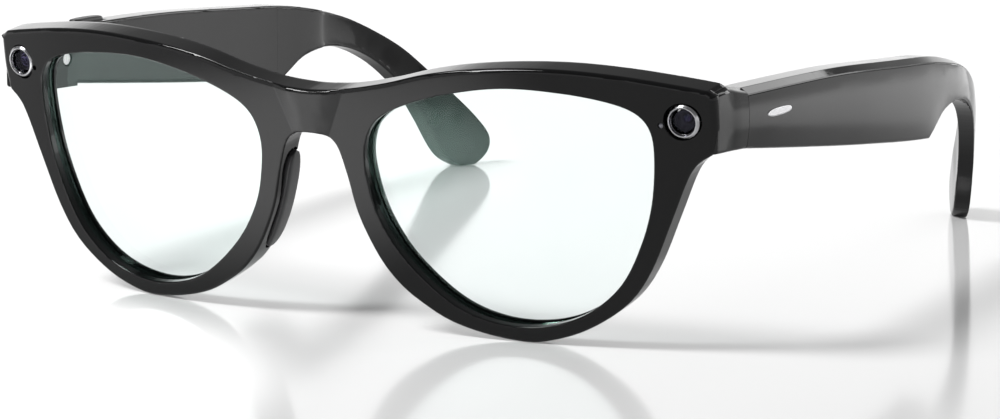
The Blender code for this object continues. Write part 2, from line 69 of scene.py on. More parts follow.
OPENING = [
    (60.4, 25.9), (61.0, 35.0), (59.3, 39.3), (54.6, 41.5), (46.0, 42.8), (36.0, 43.0),
    (26.0, 41.3), (17.5, 38.6), (12.6, 35.6), (10.6, 31.5), (10.5, 27.0), (12.2, 19.9),
    (16.8, 12.6), (24.5, 5.9), (32.0, 3.0), (40.1, 2.8), (47.9, 5.3), (54.2, 10.6), (58.1, 17.9),
]
BROW_LINE = [(0, 40.4), (7, 40.9), (14.7, 42.4), (22.2, 44.4), (29.5, 45.7), (38, 46.5),
             (47, 46.7), (56.5, 46.1), (66, 44.9), (69.7, 44.3)]
END_LINE = [(70.0, 44.15), (71.2, 43.4), (71.3, 43.0), (71.3, 38.0), (70.7, 34.0)]
RIM_LINE = [(70.0, 33.5), (67.9, 32.0), (66.0, 28.8), (63.5, 22.7), (59.5, 13.4), (55.1, 7.4),
            (48.0, 2.6), (40.8, 0.2), (36.0, 0.0), (30.0, 0.8), (24.1, 2.5), (19.2, 5.2),
            (15.5, 8.0), (11.9, 12.4), (8.4, 19.5), (6.4, 27.0), (4.2, 32.0), (0, 33.0)]
NASAL_LINE = [(5.3, 30.3), (6.2, 27.0), (7.4, 22.6), (8.8, 18.5), (10.3, 15.2), (12.1, 12.1),
              (14.4, 9.1)]

MODULE_AT = (66.1, 39.15)
MODULE_WRAP = math.radians(5)
BEZEL_RADIUS = 2.86
DOT_AT = (62.5, 38.4)

HINGE_X = 66.0
HINGE_Y = 20.6
HINGE_Z = 38.7
LEAF_SCREW_Y = 16.3
LEAF_HOLE_RADIUS = 0.85
END_BACK = 19.12
KNUCKLE_RADIUS = 1.5
KNUCKLES = [(35.2, 37.1), (37.4, 39.9), (40.2, 42.1)]
PIN_RADIUS = 0.7
BORE_RADIUS = 0.8

TEMPLE_THICK = 5.6
TEMPLE_FRONT = 19.22
CHAMFER_DROP = 0.95
CHAMFER_WIDTH = 1.62
CROWN = 0.5
TEMPLE_TOP = [(17.0, 43.53), (36.5, 43.1), (55.5, 42.3), (77, 40.6), (94, 39.1), (105, 37.2),
              (113, 35.1), (119, 32.9), (126, 29.5), (131.8, 25.8), (137.6, 20.6), (142.5, 15.6),
              (147.4, 10.3), (150.4, 5.8), (149.8, 2.2), (147.2, 0.0)]
TEMPLE_HOOK = [(144.2, 0.0), (141.2, 2.0), (138.9, 5.5), (136.6, 10.0), (133.3, 15.4), (128.8, 20.4),
               (123.4, 24.6), (117, 27.6), (110.5, 28.9), (105.0, 28.8), (100.2, 27.8), (96.4, 25.9)]
TEMPLE_BOTTOM = [(93.2, 24.3), (86, 25.0), (78, 25.9), (69, 27.0), (56, 28.6), (37, 31.1),
                 (17.0, 33.8)]
TEMPLE_PLAN = [(0, 71.0), (10, 71.6), (30, 72.7), (50, 73.2), (70, 73.4), (90, 73.0), (105, 71.8),
               (115, 70.3), (125, 67.8), (135, 63.9), (145, 58.5), (152, 54.7), (160, 50.3)]
THICKNESS = [(0, 5.6), (95, 5.6), (110, 4.6), (130, 3.7), (150, 3.2), (160, 3.2)]
CAVITY = (22.9, 91.0)
WALL = 1.3
COVER_SEAT = 4.3
SWITCH_WAY = [(36.3, 37.0), (41.7, 37.0), (41.7, 39.4), (36.3, 39.4)]

# The frame tells where the glasses' own y = 0 lies in the world
LEFT_JOINT = next(j for j in frame["joints"] if j["name"] == "left_temple_fold")
MIDDLE_Y = HINGE_Y - LEFT_JOINT["pos_m"][1] / MM


# ------ lines and fields

def spline(points, per_span, closed=False):
    """Points along a Catmull-Rom curve through the given ones."""
    p = np.array(points, float)
    if closed:
        p = np.vstack([p[-1], p, p[:2]])
    else:
        p = np.vstack([2 * p[0] - p[1], p, 2 * p[-1] - p[-2]])
    found = []
    for a, b, c, d in zip(p, p[1:], p[2:], p[3:]):
        for t in np.linspace(0, 1, per_span, endpoint=False):
            found.append(0.5 * (2 * b + (c - a) * t + (2 * a - 5 * b + 4 * c - d) * t * t
                                + (3 * b - a - 3 * c + d) * t ** 3))
    if not closed:
        found.append(p[-2])
    return np.array(found)


def even(points, step, closed=False):
    """A smooth curve through the points, with a vertex about every step."""
    fine = spline(points, 24, closed)
    if closed:
        fine = np.vstack([fine, fine[:1]])
    run = np.concatenate([[0], np.cumsum(np.linalg.norm(np.diff(fine, axis=0), axis=1))])
    count = max(3, int(round(run[-1] / step)))
    at = np.linspace(0, run[-1], count + 1)
    found = np.stack([np.interp(at, run, fine[:, k]) for k in range(fine.shape[1])], 1)
    return found[:-1] if closed else found


def eased(line, rounds=14):
    """The same open line without its small kinks: it is smoothed, then swelled back by as much."""
    p = np.array(line, float)
    for k in range(2 * rounds):
        pull = 0.5 if k % 2 == 0 else -0.52
        middle = 0.5 * (p[:-2] + p[2:])
        p[1:-1] += pull * (middle - p[1:-1])
    return p


def sideways(line, closed=True):
    """Unit vectors to the right of a line's direction."""
    p = np.array(line, float)
    if closed:
        along = np.roll(p, -1, 0) - np.roll(p, 1, 0)
    else:
        along = np.gradient(p, axis=0)
    along /= np.maximum(np.linalg.norm(along, axis=1), 1e-9)[:, None]
    return np.stack([along[:, 1], -along[:, 0]], 1)


def offset(line, reach):
    """The closed line moved to the right of its direction; reach is a number or one per point."""
    return np.array(line, float) + np.reshape(reach, (-1, 1)) * sideways(line)


def smooth_step(value, low, high):
    t = np.clip((np.asarray(value, float) - low) / (high - low), 0, 1)
    return t * t * (3 - 2 * t)


def table_of(points):
    line = spline(sorted(points), 16)
    return line[:, 0], line[:, 1]


BROW_TABLE = table_of(BROW_LINE)
LOWER_TABLE = table_of(TEMPLE_BOTTOM + TEMPLE_HOOK[3:])
PLAN_TABLE = table_of(TEMPLE_PLAN)
THICK_TABLE = table_of(THICKNESS)
TOP_TABLE = table_of(TEMPLE_TOP[:14])
BOTTOM_TABLE = table_of(TEMPLE_BOTTOM)


def brow_z(x):
    return np.interp(np.abs(x), *BROW_TABLE)


def top_z(y):
    return np.interp(y, *TOP_TABLE)


def bottom_z(y):
    return np.interp(y, *BOTTOM_TABLE)


def front_y(x, z):
    return x * x / (2 * WRAP_RADIUS) - math.tan(TILT) * (z - LENS_MID_Z)


def on_front(p, bend=1):
    """Flat front space to the real place; a bend of 0 keeps it square to the middle of the front."""
    x, depth, z = p.T
    return np.stack([x, front_y(bend * x, z) + depth * math.cos(TILT), z + depth * math.sin(TILT)], 1)


def off_front(p):
    """The real place back to flat front space."""
    x, y, z = p.T
    depth = (y - front_y(x, z)) * math.cos(TILT)
    return np.stack([x, depth, z - depth * math.sin(TILT)], 1)


def temple_bend(y):
    """Where the temple's outer face lies at y, and how its thickness there compares with the front's."""
    return np.interp(y, *PLAN_TABLE), np.interp(y, *THICK_TABLE) / TEMPLE_THICK


def on_temple(p):
    """Flat temple space to the real place on the wearer's left side."""
    x, y, z = p.T
    out, share = temple_bend(y)
    return np.stack([out + x * share, y, z], 1)


def off_temple(p):
    x, y, z = p.T
    out, share = temple_bend(y)
    return np.stack([(x - out) / share, y, z], 1)


def unmoved(p):
    return p


def distance_to(points, line):
    """Distance from each (N, 2) point to a polyline, and how far along it the place is, 0 to 1."""
    best = np.full(len(points), 1e9)
    share = np.zeros(len(points))
    for i, (a, b) in enumerate(zip(line, line[1:])):
        ab = b - a
        t = np.clip(((points - a) @ ab) / (ab @ ab), 0, 1)
        gap = np.linalg.norm(points - (a + t[:, None] * ab), axis=1)
        near = gap < best
        best[near] = gap[near]
        share[near] = (i + t[near]) / (len(line) - 1)
    return best, share


# ------ mesh tools

def new_object(name, bm):
    bmesh.ops.recalc_face_normals(bm, faces=bm.faces)
    mesh = bpy.data.meshes.new(name)
    bm.to_mesh(mesh)
    bm.free()
    obj = bpy.data.objects.new(name, mesh)
    bpy.context.scene.collection.objects.link(obj)
    return obj


def loft(name, rings):
    """A closed body through rings of points, in millimetres."""
    bm = bmesh.new()
    loops = [[bm.verts.new(Vector(p)) for p in ring] for ring in rings]
    for low, high in zip(loops, loops[1:]):
        for i in range(len(low)):
            j = (i + 1) % len(low)
            bm.faces.new((low[i], low[j], high[j], high[i]))
    bm.faces.new(list(reversed(loops[0])))
    bm.faces.new(loops[-1])
    return new_object(name, bm)


def swept(name, outline, profile, place):
    """An outline swept through (reach, depth) steps; each may be one per point."""
    rings = []
    for reach, depth in profile:
        depths = np.broadcast_to(depth, len(outline))
        rings.append([place(*p, s) for p, s in zip(offset(outline, reach), depths)])
    return loft(name, rings)


def front_prism(name, outline, profile):
    """An (x, z) outline swept in flat front space."""
    return swept(name, outline, profile, lambda x, z, depth: (x, depth, z))


def side_prism(name, outline, profile):
    """A (y, z) outline swept in flat temple space."""
    return swept(name, outline, profile, lambda y, z, depth: (-depth, y, z))


def plain_prism(name, outline, near, far):
    return side_prism(name, outline, [(0, near), (0, far)])


def box(name, low, high, edge=0.0):
    """A box between two corners, bevelled if edge is given."""
    bm = bmesh.new()
    bmesh.ops.create_cube(bm, size=1)
    for v in bm.verts:
        v.co = Vector(low[k] + (v.co[k] + 0.5) * (high[k] - low[k]) for k in range(3))
    if edge:
        bmesh.ops.bevel(bm, geom=bm.edges[:], offset=edge, segments=3, profile=0.5, affect="EDGES")
    return new_object(name, bm)


def turned(name, profile, centre, look, sides=64, closed=False):
    """A body of revolution. The profile is (radius, depth), with depth behind the centre."""
    look = Vector(look).normalized()
    u = look.orthogonal().normalized()
    v = look.cross(u)
    around = [u * math.cos(t) + v * math.sin(t) for t in (2 * math.pi * i / sides for i in range(sides))]
    bm = bmesh.new()
    rings = []
    for radius, depth in profile:
        middle = Vector(centre) - look * depth
        count = sides if radius > 1e-6 else 1
        rings.append([bm.verts.new(middle + radius * out) for out in around[:count]])
    pairs = list(zip(rings, rings[1:]))
    if closed:
        pairs.append((rings[-1], rings[0]))
    for low, high in pairs:
        for i in range(sides):
            j = (i + 1) % sides
            corners = (low[i % len(low)], low[j % len(low)], high[j % len(high)], high[i % len(high)])
            corners = list(dict.fromkeys(corners))
            if len(corners) > 2:
                bm.faces.new(corners)
    if not closed:
        for ring in (rings[0], rings[-1]):
            if len(ring) > 1:
                bm.faces.new(ring)
    return new_object(name, bm)


def rod(name, start, end, radius, sides=32, edge=0.0):
    """A round bar from start to end with chamfered ends."""
    length = (Vector(end) - Vector(start)).length
    profile = [(radius - edge, 0), (radius, edge), (radius, length - edge), (radius - edge, length)]
    return turned(name, profile if edge else profile[1:3], start, Vector(start) - Vector(end), sides)


def baked(obj, kind, **settings):
    """Applies one modifier to an object's mesh."""
    modifier = obj.modifiers.new(kind, kind)
    for key, value in settings.items():
        setattr(modifier, key, value)
    bpy.context.view_layer.update()
    mesh = bpy.data.meshes.new_from_object(obj.evaluated_get(bpy.context.evaluated_depsgraph_get()))
    obj.modifiers.clear()
    obj.data = mesh


def combined(obj, operation, others):
    for other in others:
        baked(obj, "BOOLEAN", operation=operation, solver="EXACT", object=other)
        bpy.data.objects.remove(other)
    return obj


def cut(obj, *others):
    return combined(obj, "DIFFERENCE", others)


def join(obj, *others):
    return combined(obj, "UNION", others)


def edit(obj, change):
    """Runs change(bm) on an object's mesh."""
    bm = bmesh.new()
    bm.from_mesh(obj.data)
    change(bm)
    bm.to_mesh(obj.data)
    bm.free()
    return obj


def sliced(obj, axis, places):
    """Cuts an object's faces across one axis at each place."""
    normal = [float(k == axis) for k in range(3)]

    def change(bm):
        values = [v.co[axis] for v in bm.verts]
        for place in places:
            if min(values) < place < max(values):
                parts = bm.verts[:] + bm.edges[:] + bm.faces[:]
                bmesh.ops.bisect_plane(bm, geom=parts, dist=1e-5,
                                       plane_co=[c * place for c in normal], plane_no=normal)

    return edit(obj, change)


def moved(obj, place):
    """Moves every vertex by place(points)."""
    co = points_of(obj)
    obj.data.vertices.foreach_set("co", place(co).astype(np.float32).ravel())
    obj.data.update()
    return obj


def read(items, key, width=3, kind=np.float32):
    """One property of all items as rows."""
    values = np.zeros(len(items) * width, kind)
    items.foreach_get(key, values)
    return values.reshape(-1, width)


def points_of(obj):
    return read(obj.data.vertices, "co").astype(float)


def sided(obj, side):
    """An object made for the left side, mirrored if it is for the right one."""
    def change(bm):
        for v in bm.verts:
            v.co.x = -v.co.x
        bmesh.ops.reverse_faces(bm, faces=bm.faces)

    return obj if side > 0 else edit(obj, change)


def weighted_normals(obj):
    """Corner normals in the flat space: smooth over small angles, ruled by the large faces."""
    obj.data.shade_smooth()
    obj.data.set_sharp_from_angle(angle=SHARP)
    baked(obj, "WEIGHTED_NORMAL", keep_sharp=True, weight=60)
    return read(obj.data.corner_normals, "vector").astype(float)


def settled(obj, name, place=unmoved, side=1):
    """Bends a finished flat mesh into the world and carries its shading normals with it."""
    mirror = np.array((float(side), 1.0, 1.0))
    sided(obj, side)
    normals = weighted_normals(obj)
    mesh = obj.data
    corners = read(mesh.loops, "vertex_index", 1, np.int32)[:, 0]
    flat = points_of(obj)
    here = mirror * place(mirror * flat)
    step = 1e-3
    columns = [(mirror * place(mirror * (flat + step * axis)) - here) / step for axis in np.eye(3)]
    turn = np.linalg.inv(np.stack(columns, 2))[corners]
    normals = np.einsum("nji,nj->ni", turn, normals)
    normals /= np.linalg.norm(normals, axis=1)[:, None]
    world = (here - (0, MIDDLE_Y, 0)) * MM
    mesh.vertices.foreach_set("co", world.astype(np.float32).ravel())
    mesh.update()
    mesh.normals_split_custom_set(normals.astype(np.float32))
    obj.name = mesh.name = name
    return obj


def superellipse(count, power_a, power_b):
    """Points round a unit superellipse: powers under 1 square its corners."""
    t = np.linspace(0, 2 * math.pi, count, endpoint=False)
    pairs = ((np.cos(t), power_a), (np.sin(t), power_b))
    return list(zip(*(np.copysign(np.abs(wave) ** power, wave) for wave, power in pairs)))


# ------ the front

def opening_line():
    line = even(OPENING, STEP, closed=True)
    lap = len(line) // 2
    return eased(np.vstack([line[-lap:], line, line[:lap]]), 30)[lap:-lap]


def without_doubles(line):
    """The closed line without points that nearly touch the one before."""
    return line[np.linalg.norm(line - np.roll(line, 1, 0), axis=1) > 0.15]


def front_line():
    brow = even(BROW_LINE, STEP)
    brow = eased(np.vstack([brow[::-1] * (-1, 1), brow[1:]]), 20)
    rim = even(RIM_LINE, STEP)
    rim = eased(np.vstack([rim, rim[-2::-1] * (-1, 1)]), 40)[:len(rim)]
    half = np.vstack([brow[len(brow) // 2:], even(END_LINE, STEP), rim])
    half[0, 0] = half[-1, 0] = 0.0
    return without_doubles(np.vstack([half, half[1:-1][::-1] * (-1, 1)]))


def opening_cutter(side):
    """Cuts a lens opening with a rounded front lip, the lens groove and a rounded rear lip."""
    near, far = GROOVE
    profile = [(0.44, -0.06), (0.13, 0.08), (0.03, 0.22), (0, 0.42), (0, near),
               (GROOVE_REACH, near + 0.1), (GROOVE_REACH, far - 0.1), (0, far),
               (0, RIM_DEPTH - 0.55), (0.1, RIM_DEPTH - 0.22), (0.55, RIM_DEPTH + 0.1)]
    return sided(front_prism("opening", opening_line(), profile), side)


def facet_lines(z):
    """Inner and outer edge of the bridge's slanted facets at a height."""
    t = (z - 30) / 10.4
    return 0.8 + 3.1 * t, 2.6 + 4.3 * t


def front_relief(x, z):
    """How far the front face is set back: two slanted facets beside the middle of the bridge."""
    inner, outer = facet_lines(z)
    reach = np.abs(x)
    rise = smooth_step(reach, inner - 0.6, inner + 0.6) * np.maximum(reach - inner, 0) / (outer - inner)
    fall = 1 - smooth_step(reach, outer, outer + 30)
    return 0.29 * (outer - inner) * np.where(reach < outer, rise, fall)


NASAL_EDGE = even(NASAL_LINE, 0.8)


def rear_relief(x, z):
    """How far the rear face stands back: a thicker brow and raised bearings beside the nose."""
    brow = BROW_EXTRA * smooth_step(z, brow_z(x) - 7.4, brow_z(x) - 4.6)
    gap, share = distance_to(np.stack([np.abs(x), z], 1), NASAL_EDGE)
    bearing = BEARING_EXTRA * (1 - smooth_step(gap, 1.6, 4.2))
    return np.maximum(brow, bearing)


def with_relief(p):
    x, depth, z = p.T
    front = np.clip(1 - depth / 1.3, 0, 1)
    rear = np.clip((depth - GROOVE[1] - 0.02) / 0.5, 0, 1)
    return np.stack([x, depth + front * front_relief(x, z) + rear * rear_relief(x, z), z], 1)


def end_block():
    """The part of the front that reaches back to the hinge, in the real place."""
    side = float(np.interp(END_BACK, *PLAN_TABLE))
    stations = [(9.6, 71.2, 44.2, 45.5), (10.2, 71.3, 44.28, 45.6), (12.0, 71.45, 44.4, 45.6),
                (13.5, 71.58, 44.4, 45.6), (15.0, 71.72, 44.25, 45.3), (17.0, side - 0.12, 43.9, 44.6),
                (END_BACK, side, 43.51, 43.9)]
    rings = []
    for y, out, top, inner_top in stations:
        low = 33.9 - 0.4 * (y - 9.7) / 9.4
        crown = CROWN * smooth_step(y, 9.0, 18.0)
        ring = [(62.6, low), (out - crown - 0.55, low), (out - crown - 0.2, low + 0.1),
                (out - crown - 0.04, low + 0.3)]
        for z in np.linspace(low + 0.6, top - CHAMFER_DROP, 9):
            ring.append((out - crown * ((z - 38.5) / 5) ** 2, z))
        ring += [(out - crown * 0.3 - CHAMFER_WIDTH, top), (62.6, inner_top)]
        rings.append([(x, y, z) for x, z in ring])
    obj = loft("end_block", rings)
    return moved(sliced(obj, 0, (65, 68)), off_front)


def module_turned(name, profile, sides=64, closed=False):
    """A turned piece on the left module's axis, in the real place."""
    x, z = MODULE_AT
    look = (math.sin(MODULE_WRAP), -math.cos(MODULE_WRAP), -math.sin(TILT))
    return turned(name, profile, (x, front_y(x, z), z), look, sides, closed)


def nasal_pad(name, grow, trim):
    """A rounded strip beside the nose in flat space, pointed at both ends."""
    line = even(NASAL_LINE, 0.5)
    line = line[trim:len(line) - trim]
    near, far = 2.2 - grow, 6.2 + grow
    inner = -1.0 - grow
    rings = []
    for t, p, n in zip(np.linspace(-1, 1, len(line)), line, sideways(line, closed=False)):
        size = math.sqrt(max(0.0, 1 - abs(t) ** 5)) * 0.92 + 0.08
        outer = (0.72 + grow) * (0.35 + 0.65 * size)
        ring = []
        for bulge, deep in superellipse(28, 0.55, 0.55):
            x, z = p + n * ((inner + outer) / 2 + (outer - inner) / 2 * bulge)
            ring.append((x, (near + far) / 2 + (far - near) / 2 * size * deep, z))
        rings.append(ring)
    return loft(name, rings)


def brow_band(name, reach, half, near, far, edge=0.0):
    """A band along the brow in flat space, rounded at its rear edges if edge is given."""
    upper = [(near, half), (far, half)]
    if edge:
        upper[1:] = [(far - edge, half), (far - 0.3 * edge, half - 0.3 * edge), (far, half - edge)]
    section = [(near, -half)] + upper + [(d, -h) for d, h in upper[:0:-1]]
    xs = np.linspace(-reach, reach, 121)
    return loft(name, [[(x, d, brow_z(x) - 1.95 + h) for d, h in section] for x in xs])


def front_shell():
    outline = front_line()
    x, z = outline.T
    reach = np.abs(x)
    recess = 0.9 * smooth_step(reach, 69.4, 70.6) * smooth_step(z, 32.6, 34.6)
    recess = recess * (1 - smooth_step(z, 43, 44))
    corner = 1 + 1.5 * smooth_step(reach, 69.6, 71.0) * (1 - smooth_step(z, 42.6, 44.0))
    radius = 0.46 * (corner + 0.7 * (z > brow_z(x) - 0.6))
    turns = [math.radians(18 * k) for k in range(6)]
    profile = [(radius * (1 - math.sin(a)), radius * (1 - math.cos(a))) for a in turns]
    profile += [(0.0, 1.3), (0.4 * recess, 1.5), (recess, 2.0), (recess, RIM_DEPTH - 0.7),
                (recess + 0.08, RIM_DEPTH - 0.35), (recess + 0.3, RIM_DEPTH - 0.1),
                (recess + 0.7, RIM_DEPTH)]
    shell = front_prism("front_shell", outline, profile)
    for side in (1, -1):
        cut(shell, opening_cutter(side))
    sliced(shell, 0, np.arange(-71, 71.5, 1.4))
    sliced(shell, 2, np.arange(0.8, 46.5, 1.4))
    for side in (1, -1):
        for edge in (-0.12, 0.12):
            facet_slice(shell, side, edge)
    moved(shell, with_relief)
    for side in (1, -1):
        join(shell, sided(end_block(), side))
    for side in (1, -1):
        cut(shell, sided(nasal_pad("pad_seat", 0.22, 3), side))
        cut(shell, *(sided(moved(piece, off_front), side) for piece in module_cutters()))
    return cut(shell, brow_band("cover_seat", 61, 1.4, BROW_DEPTH - 1.3, 9),
               box("contact_seat", (-4.6, 3.0, 35.0), (4.6, 9, 38.2)),
               box("microphone_seat", (6.2, 3.0, 36.2), (9.4, 9, 38.6)))


def facet_slice(obj, side, edge):
    """Cuts along one slanted edge of the bridge's facets, so that the crease is crisp."""
    low, high = facet_lines(30.0)[1] + edge, facet_lines(40.4)[1] + edge
    along = Vector((side * (high - low), 0, 10.4))
    normal = along.cross(Vector((0, 1, 0)))

    def change(bm):
        near = [v for v in bm.verts if 2 < side * v.co.x < 12 and v.co.z > 24]
        faces = {f for v in near for f in v.link_faces}
        edges = {e for f in faces for e in f.edges}
        parts = list({v for f in faces for v in f.verts}) + list(edges) + list(faces)
        bmesh.ops.bisect_plane(bm, geom=parts, dist=1e-5, plane_co=(side * low, 0, 30.0), plane_no=normal)

    return edit(obj, change)


def module_cutters():
    """What is cut out of a front corner: the seats of the module, dot, hinge leaf and screw."""
    x, z = DOT_AT
    face = front_y(x, z)
    seat = BEZEL_RADIUS + 0.2
    return (
        module_turned("bezel_seat", [(3.6, -3), (seat + 0.14, -0.3), (seat, 0.12), (seat, 1.9)]),
        module_turned("barrel_seat", [(2.35, 1.5), (2.35, 6.2)], 24),
        rod("dot_seat", (x, face - 1.5, z), (x, face + 1.4, z), 0.45, 24),
        box("cable_way", (62.0, 10.4, 40.2), (66.0, 13.3, 43.2)),
        box("leaf_slot", (64.6, 14.0, 35.1), (67.3, 20, 42.2)),
        leaf_screw_rod("screw_way", 61.5, 69.6, LEAF_HOLE_RADIUS, 20),
        leaf_screw_rod("head_way", 61.5, 63.7, 1.35, 24),
    )


def leaf_screw_rod(name, start, end, radius, sides):
    """A round bar on the axis of the screw that holds the front leaf."""
    return rod(name, (start, LEAF_SCREW_Y, HINGE_Z), (end, LEAF_SCREW_Y, HINGE_Z), radius, sides)


# ------ the temples

def temple_line():
    parts = ((TEMPLE_TOP, 20), (TEMPLE_HOOK, 20), (TEMPLE_BOTTOM, 10))
    return without_doubles(np.vstack([eased(even(points, STEP), rounds) for points, rounds in parts]))


def top_share(line):
    """1 on the temple's top edge, fading to 0 over the ear, and 0 on all other edges and at the front."""
    y, z = line.T
    return (np.abs(z - top_z(y)) < 0.3) * (y > TEMPLE_FRONT - 2) * (1 - smooth_step(y, 96, 124))


def temple_prism():
    """The temple with its wide top chamfer, the fine line under it, and rounded edges."""
    line = temple_line()
    top = top_share(line)
    rest = 1 - top
    drop = CHAMFER_DROP * top
    groove = 0.26 * np.clip(top * 1.4, 0, 1)
    back = TEMPLE_THICK
    profile = [
        (drop + 0.34 * top + 0.5 * rest, 0.0),
        (drop + 0.28 * top + 0.32 * rest, groove * 0.9 + 0.04 * rest),
        (drop + 0.06 * top + 0.16 * rest, groove + 0.14 * rest),
        (drop * 0.99 + 0.07 * rest, 0.03 + 0.23 * rest),
        (drop * 0.66, 0.5), (drop * 0.33, 1.0), (0.06 * top, 1.42), (0.0, CHAMFER_WIDTH),
        (0.0, back - 0.75), (0.05, back - 0.42), (0.19, back - 0.18), (0.42, back - 0.04), (0.75, back),
    ]
    return side_prism("temple_shell", line, profile)


HOOK_CHANNEL = [(100, 33.9), (108, 33.3), (116, 30.9), (124, 26.8), (131.5, 20.9), (138, 13.8), (142, 8.5)]
HOOK_LINE = [(118, 29.6), (125, 25.6), (131.5, 20.2), (137.3, 13.4)]


def temple_relief(p):
    """Hollows the inner face over the ear, adds the fine line of the core and crowns the outer face."""
    x, y, z = p.T
    depth = -x
    side = np.stack([y, z], 1)
    gap, share = distance_to(side, even(HOOK_CHANNEL, 1.5))
    fade = smooth_step(share, 0.0, 0.35) * (1 - smooth_step(share, 0.9, 1.0))
    channel = 0.45 * np.exp(-(gap / 3.4) ** 2) * fade
    gap, share = distance_to(side, even(HOOK_LINE, 1.0))
    groove = 0.3 * np.exp(-(gap / 0.28) ** 4) * smooth_step(share, 0.0, 0.1) * (share < 0.999)
    inner = np.clip((depth - TEMPLE_THICK + 0.3) / 0.3, 0, 1)
    low, high = np.interp(y, *LOWER_TABLE), top_z(y)
    across = np.clip((2 * z - high - low) / np.maximum(high - low, 1), -1, 1)
    crown = CROWN * across ** 2 * np.clip(1 - depth / 2.2, 0, 1) * (1 - smooth_step(y, 128, 140))
    return np.stack([x + inner * (channel + groove) - crown, y, z], 1)


def cavity_line(grow=0.0):
    start, end = CAVITY
    y = np.linspace(start - grow, end + grow, 60)
    low = np.stack([y, bottom_z(y) + WALL + 0.4 - grow], 1)
    high = np.stack([y[::-1], top_z(y[::-1]) - WALL + grow], 1)
    return np.vstack([low, high])


def follow_prism(name, ys, low, high, near, far, line_z):
    """A band with its lower and upper side at fixed heights from a temple edge."""
    bottom = [(y, float(line_z(y)) + low) for y in ys]
    top = [(y, float(line_z(y)) + high) for y in reversed(ys)]
    return plain_prism(name, bottom + top, near, far)


def temple_shell(side, word):
    shell = temple_prism()
    cut(shell, box("front_end", (-9, 10, 30), (3, TEMPLE_FRONT, 46)))
    sliced(shell, 1, np.arange(20, 150.4, 1.5))
    sliced(shell, 2, np.arange(0.7, 43.4, 1.5))
    moved(shell, temple_relief)
    cut(shell, plain_prism("hollow", cavity_line(), WALL, 9),
        plain_prism("seat", cavity_line(0.7), COVER_SEAT, 9),
        follow_prism("speaker_slot", list(np.linspace(73, 83, 6)), -1, 2.5, 2.1, 3.7, bottom_z))
    for piece in (hinge_rod("hinge_way", 34.7, 43.4, 2.0, 40),
                  box("arm_way", (65, 20.5, 36.0), (70.1, 24.0, 41.2))):
        cut(shell, moved(piece, off_temple))
    if side < 0:
        cut(shell, follow_prism("button_way", (27.2, 29.5, 32.0, 34.5, 36.8), -3, 3, 1.2, 4.3, top_z))
    return settled(shell, f"temple_body_{word}", on_temple, side)


# ------ smaller pieces

def clear_lens(side, word):
    """A bulged lens with a bevelled edge that sits in the groove."""
    line = offset(opening_line(), LENS_REACH)
    middle = line.mean(axis=0)
    near, far = LENS_DEPTH
    shares = [0.985 * (1 - 0.5 * (1 - math.cos(math.pi * k / 14))) + 0.004 for k in range(14)]
    steps = [(share, near - 0.95 * (1 - share ** 2)) for share in reversed(shares)]
    steps += [(1, near + 0.25), (1, far - 0.25)]
    steps += [(share, far - 0.95 * (1 - share ** 2)) for share in shares]
    rings = [[(x, depth, z) for x, z in middle + share * (line - middle)] for share, depth in steps]
    return settled(loft("lens", rings), f"clear_lens_{word}", on_front, side)


def nose_pad(side, word):
    return settled(nasal_pad("nose_pad", 0.0, 4), f"soft_nose_pad_{word}", on_front, side)


def module_piece(name, profile, sides, side=1, closed=False):
    return settled(module_turned(name, profile, sides, closed), name, side=side)


def module_ring(side, word):
    """The raised metal ring round a corner module: cone, bright rim, stepped mouth."""
    steps = [(0, 1.55), (0, 0.1), (-0.05, 0.02), (-0.30, -0.26), (-0.36, -0.32), (-0.44, -0.34),
             (-0.53, -0.31), (-0.60, -0.2), (-0.68, 0.02), (-0.72, 0.06), (-0.72, 0.3), (-0.60, 0.34),
             (-0.60, 1.55)]
    return module_piece(f"{word}_ring", [(BEZEL_RADIUS + out, depth) for out, depth in steps], 96, side, True)


def module_window(side, word):
    """A cover glass with a chamfered edge, domed by a few hundredths."""
    profile = [(0, 0.24), (0.7, 0.25), (1.3, 0.275), (1.75, 0.31), (1.84, 0.37), (1.84, 0.85),
               (1.78, 0.92), (0, 0.92)]
    return module_piece(f"{word}_window", profile, 96, side)


def camera_inside():
    """Stepped baffle rings that lead down to the taking lens."""
    profile = [(1.8, 1.26), (1.8, 4.5), (0.6, 4.5), (0.6, 2.6), (0.85, 2.45), (0.85, 2.2), (1.05, 2.1),
               (1.05, 1.9), (1.28, 1.78), (1.28, 1.6), (1.5, 1.5), (1.52, 1.3), (1.6, 1.26)]
    return module_piece("camera_baffle", profile, 72, closed=True)


def camera_element():
    """The domed front lens of the camera."""
    profile = [(0, 1.72), (0.2, 1.735), (0.4, 1.78), (0.6, 1.86), (0.78, 1.98), (0.82, 2.04), (0.82, 2.15),
               (0.56, 2.42), (0.56, 2.55), (0, 2.55)]
    return module_piece("camera_element", profile, 72)


def lamp_inside():
    """A reflector cup with rings round the lamp."""
    profile = [(1.2, 1.3), (1.2, 2.18), (0, 2.18), (0, 1.6), (0.2, 1.62), (0.42, 1.7), (0.5, 1.82),
               (0.7, 1.82), (0.95, 1.6), (1.05, 1.36), (1.12, 1.3)]
    return module_piece("lamp_cup", profile, 72, -1, True)


def brow_cover():
    cover = brow_band("cover", 60.6, 1.1, BROW_DEPTH - 1.0, BROW_DEPTH, 0.22)
    return settled(cover, "brow_cover", on_front)


def contact_plate():
    """The charging contact holder with two round wells."""
    plate = box("holder", (-4.3, 3.3, 35.3), (4.3, RIM_DEPTH, 37.9), edge=0.25)
    cut(plate, *(rod("well", (x, 1.0, 36.25), (x, 9.0, 36.25), 0.95, 32) for x in (-2.3, 2.3)))
    return settled(plate, "contact_plate", lambda p: on_front(p, 0))


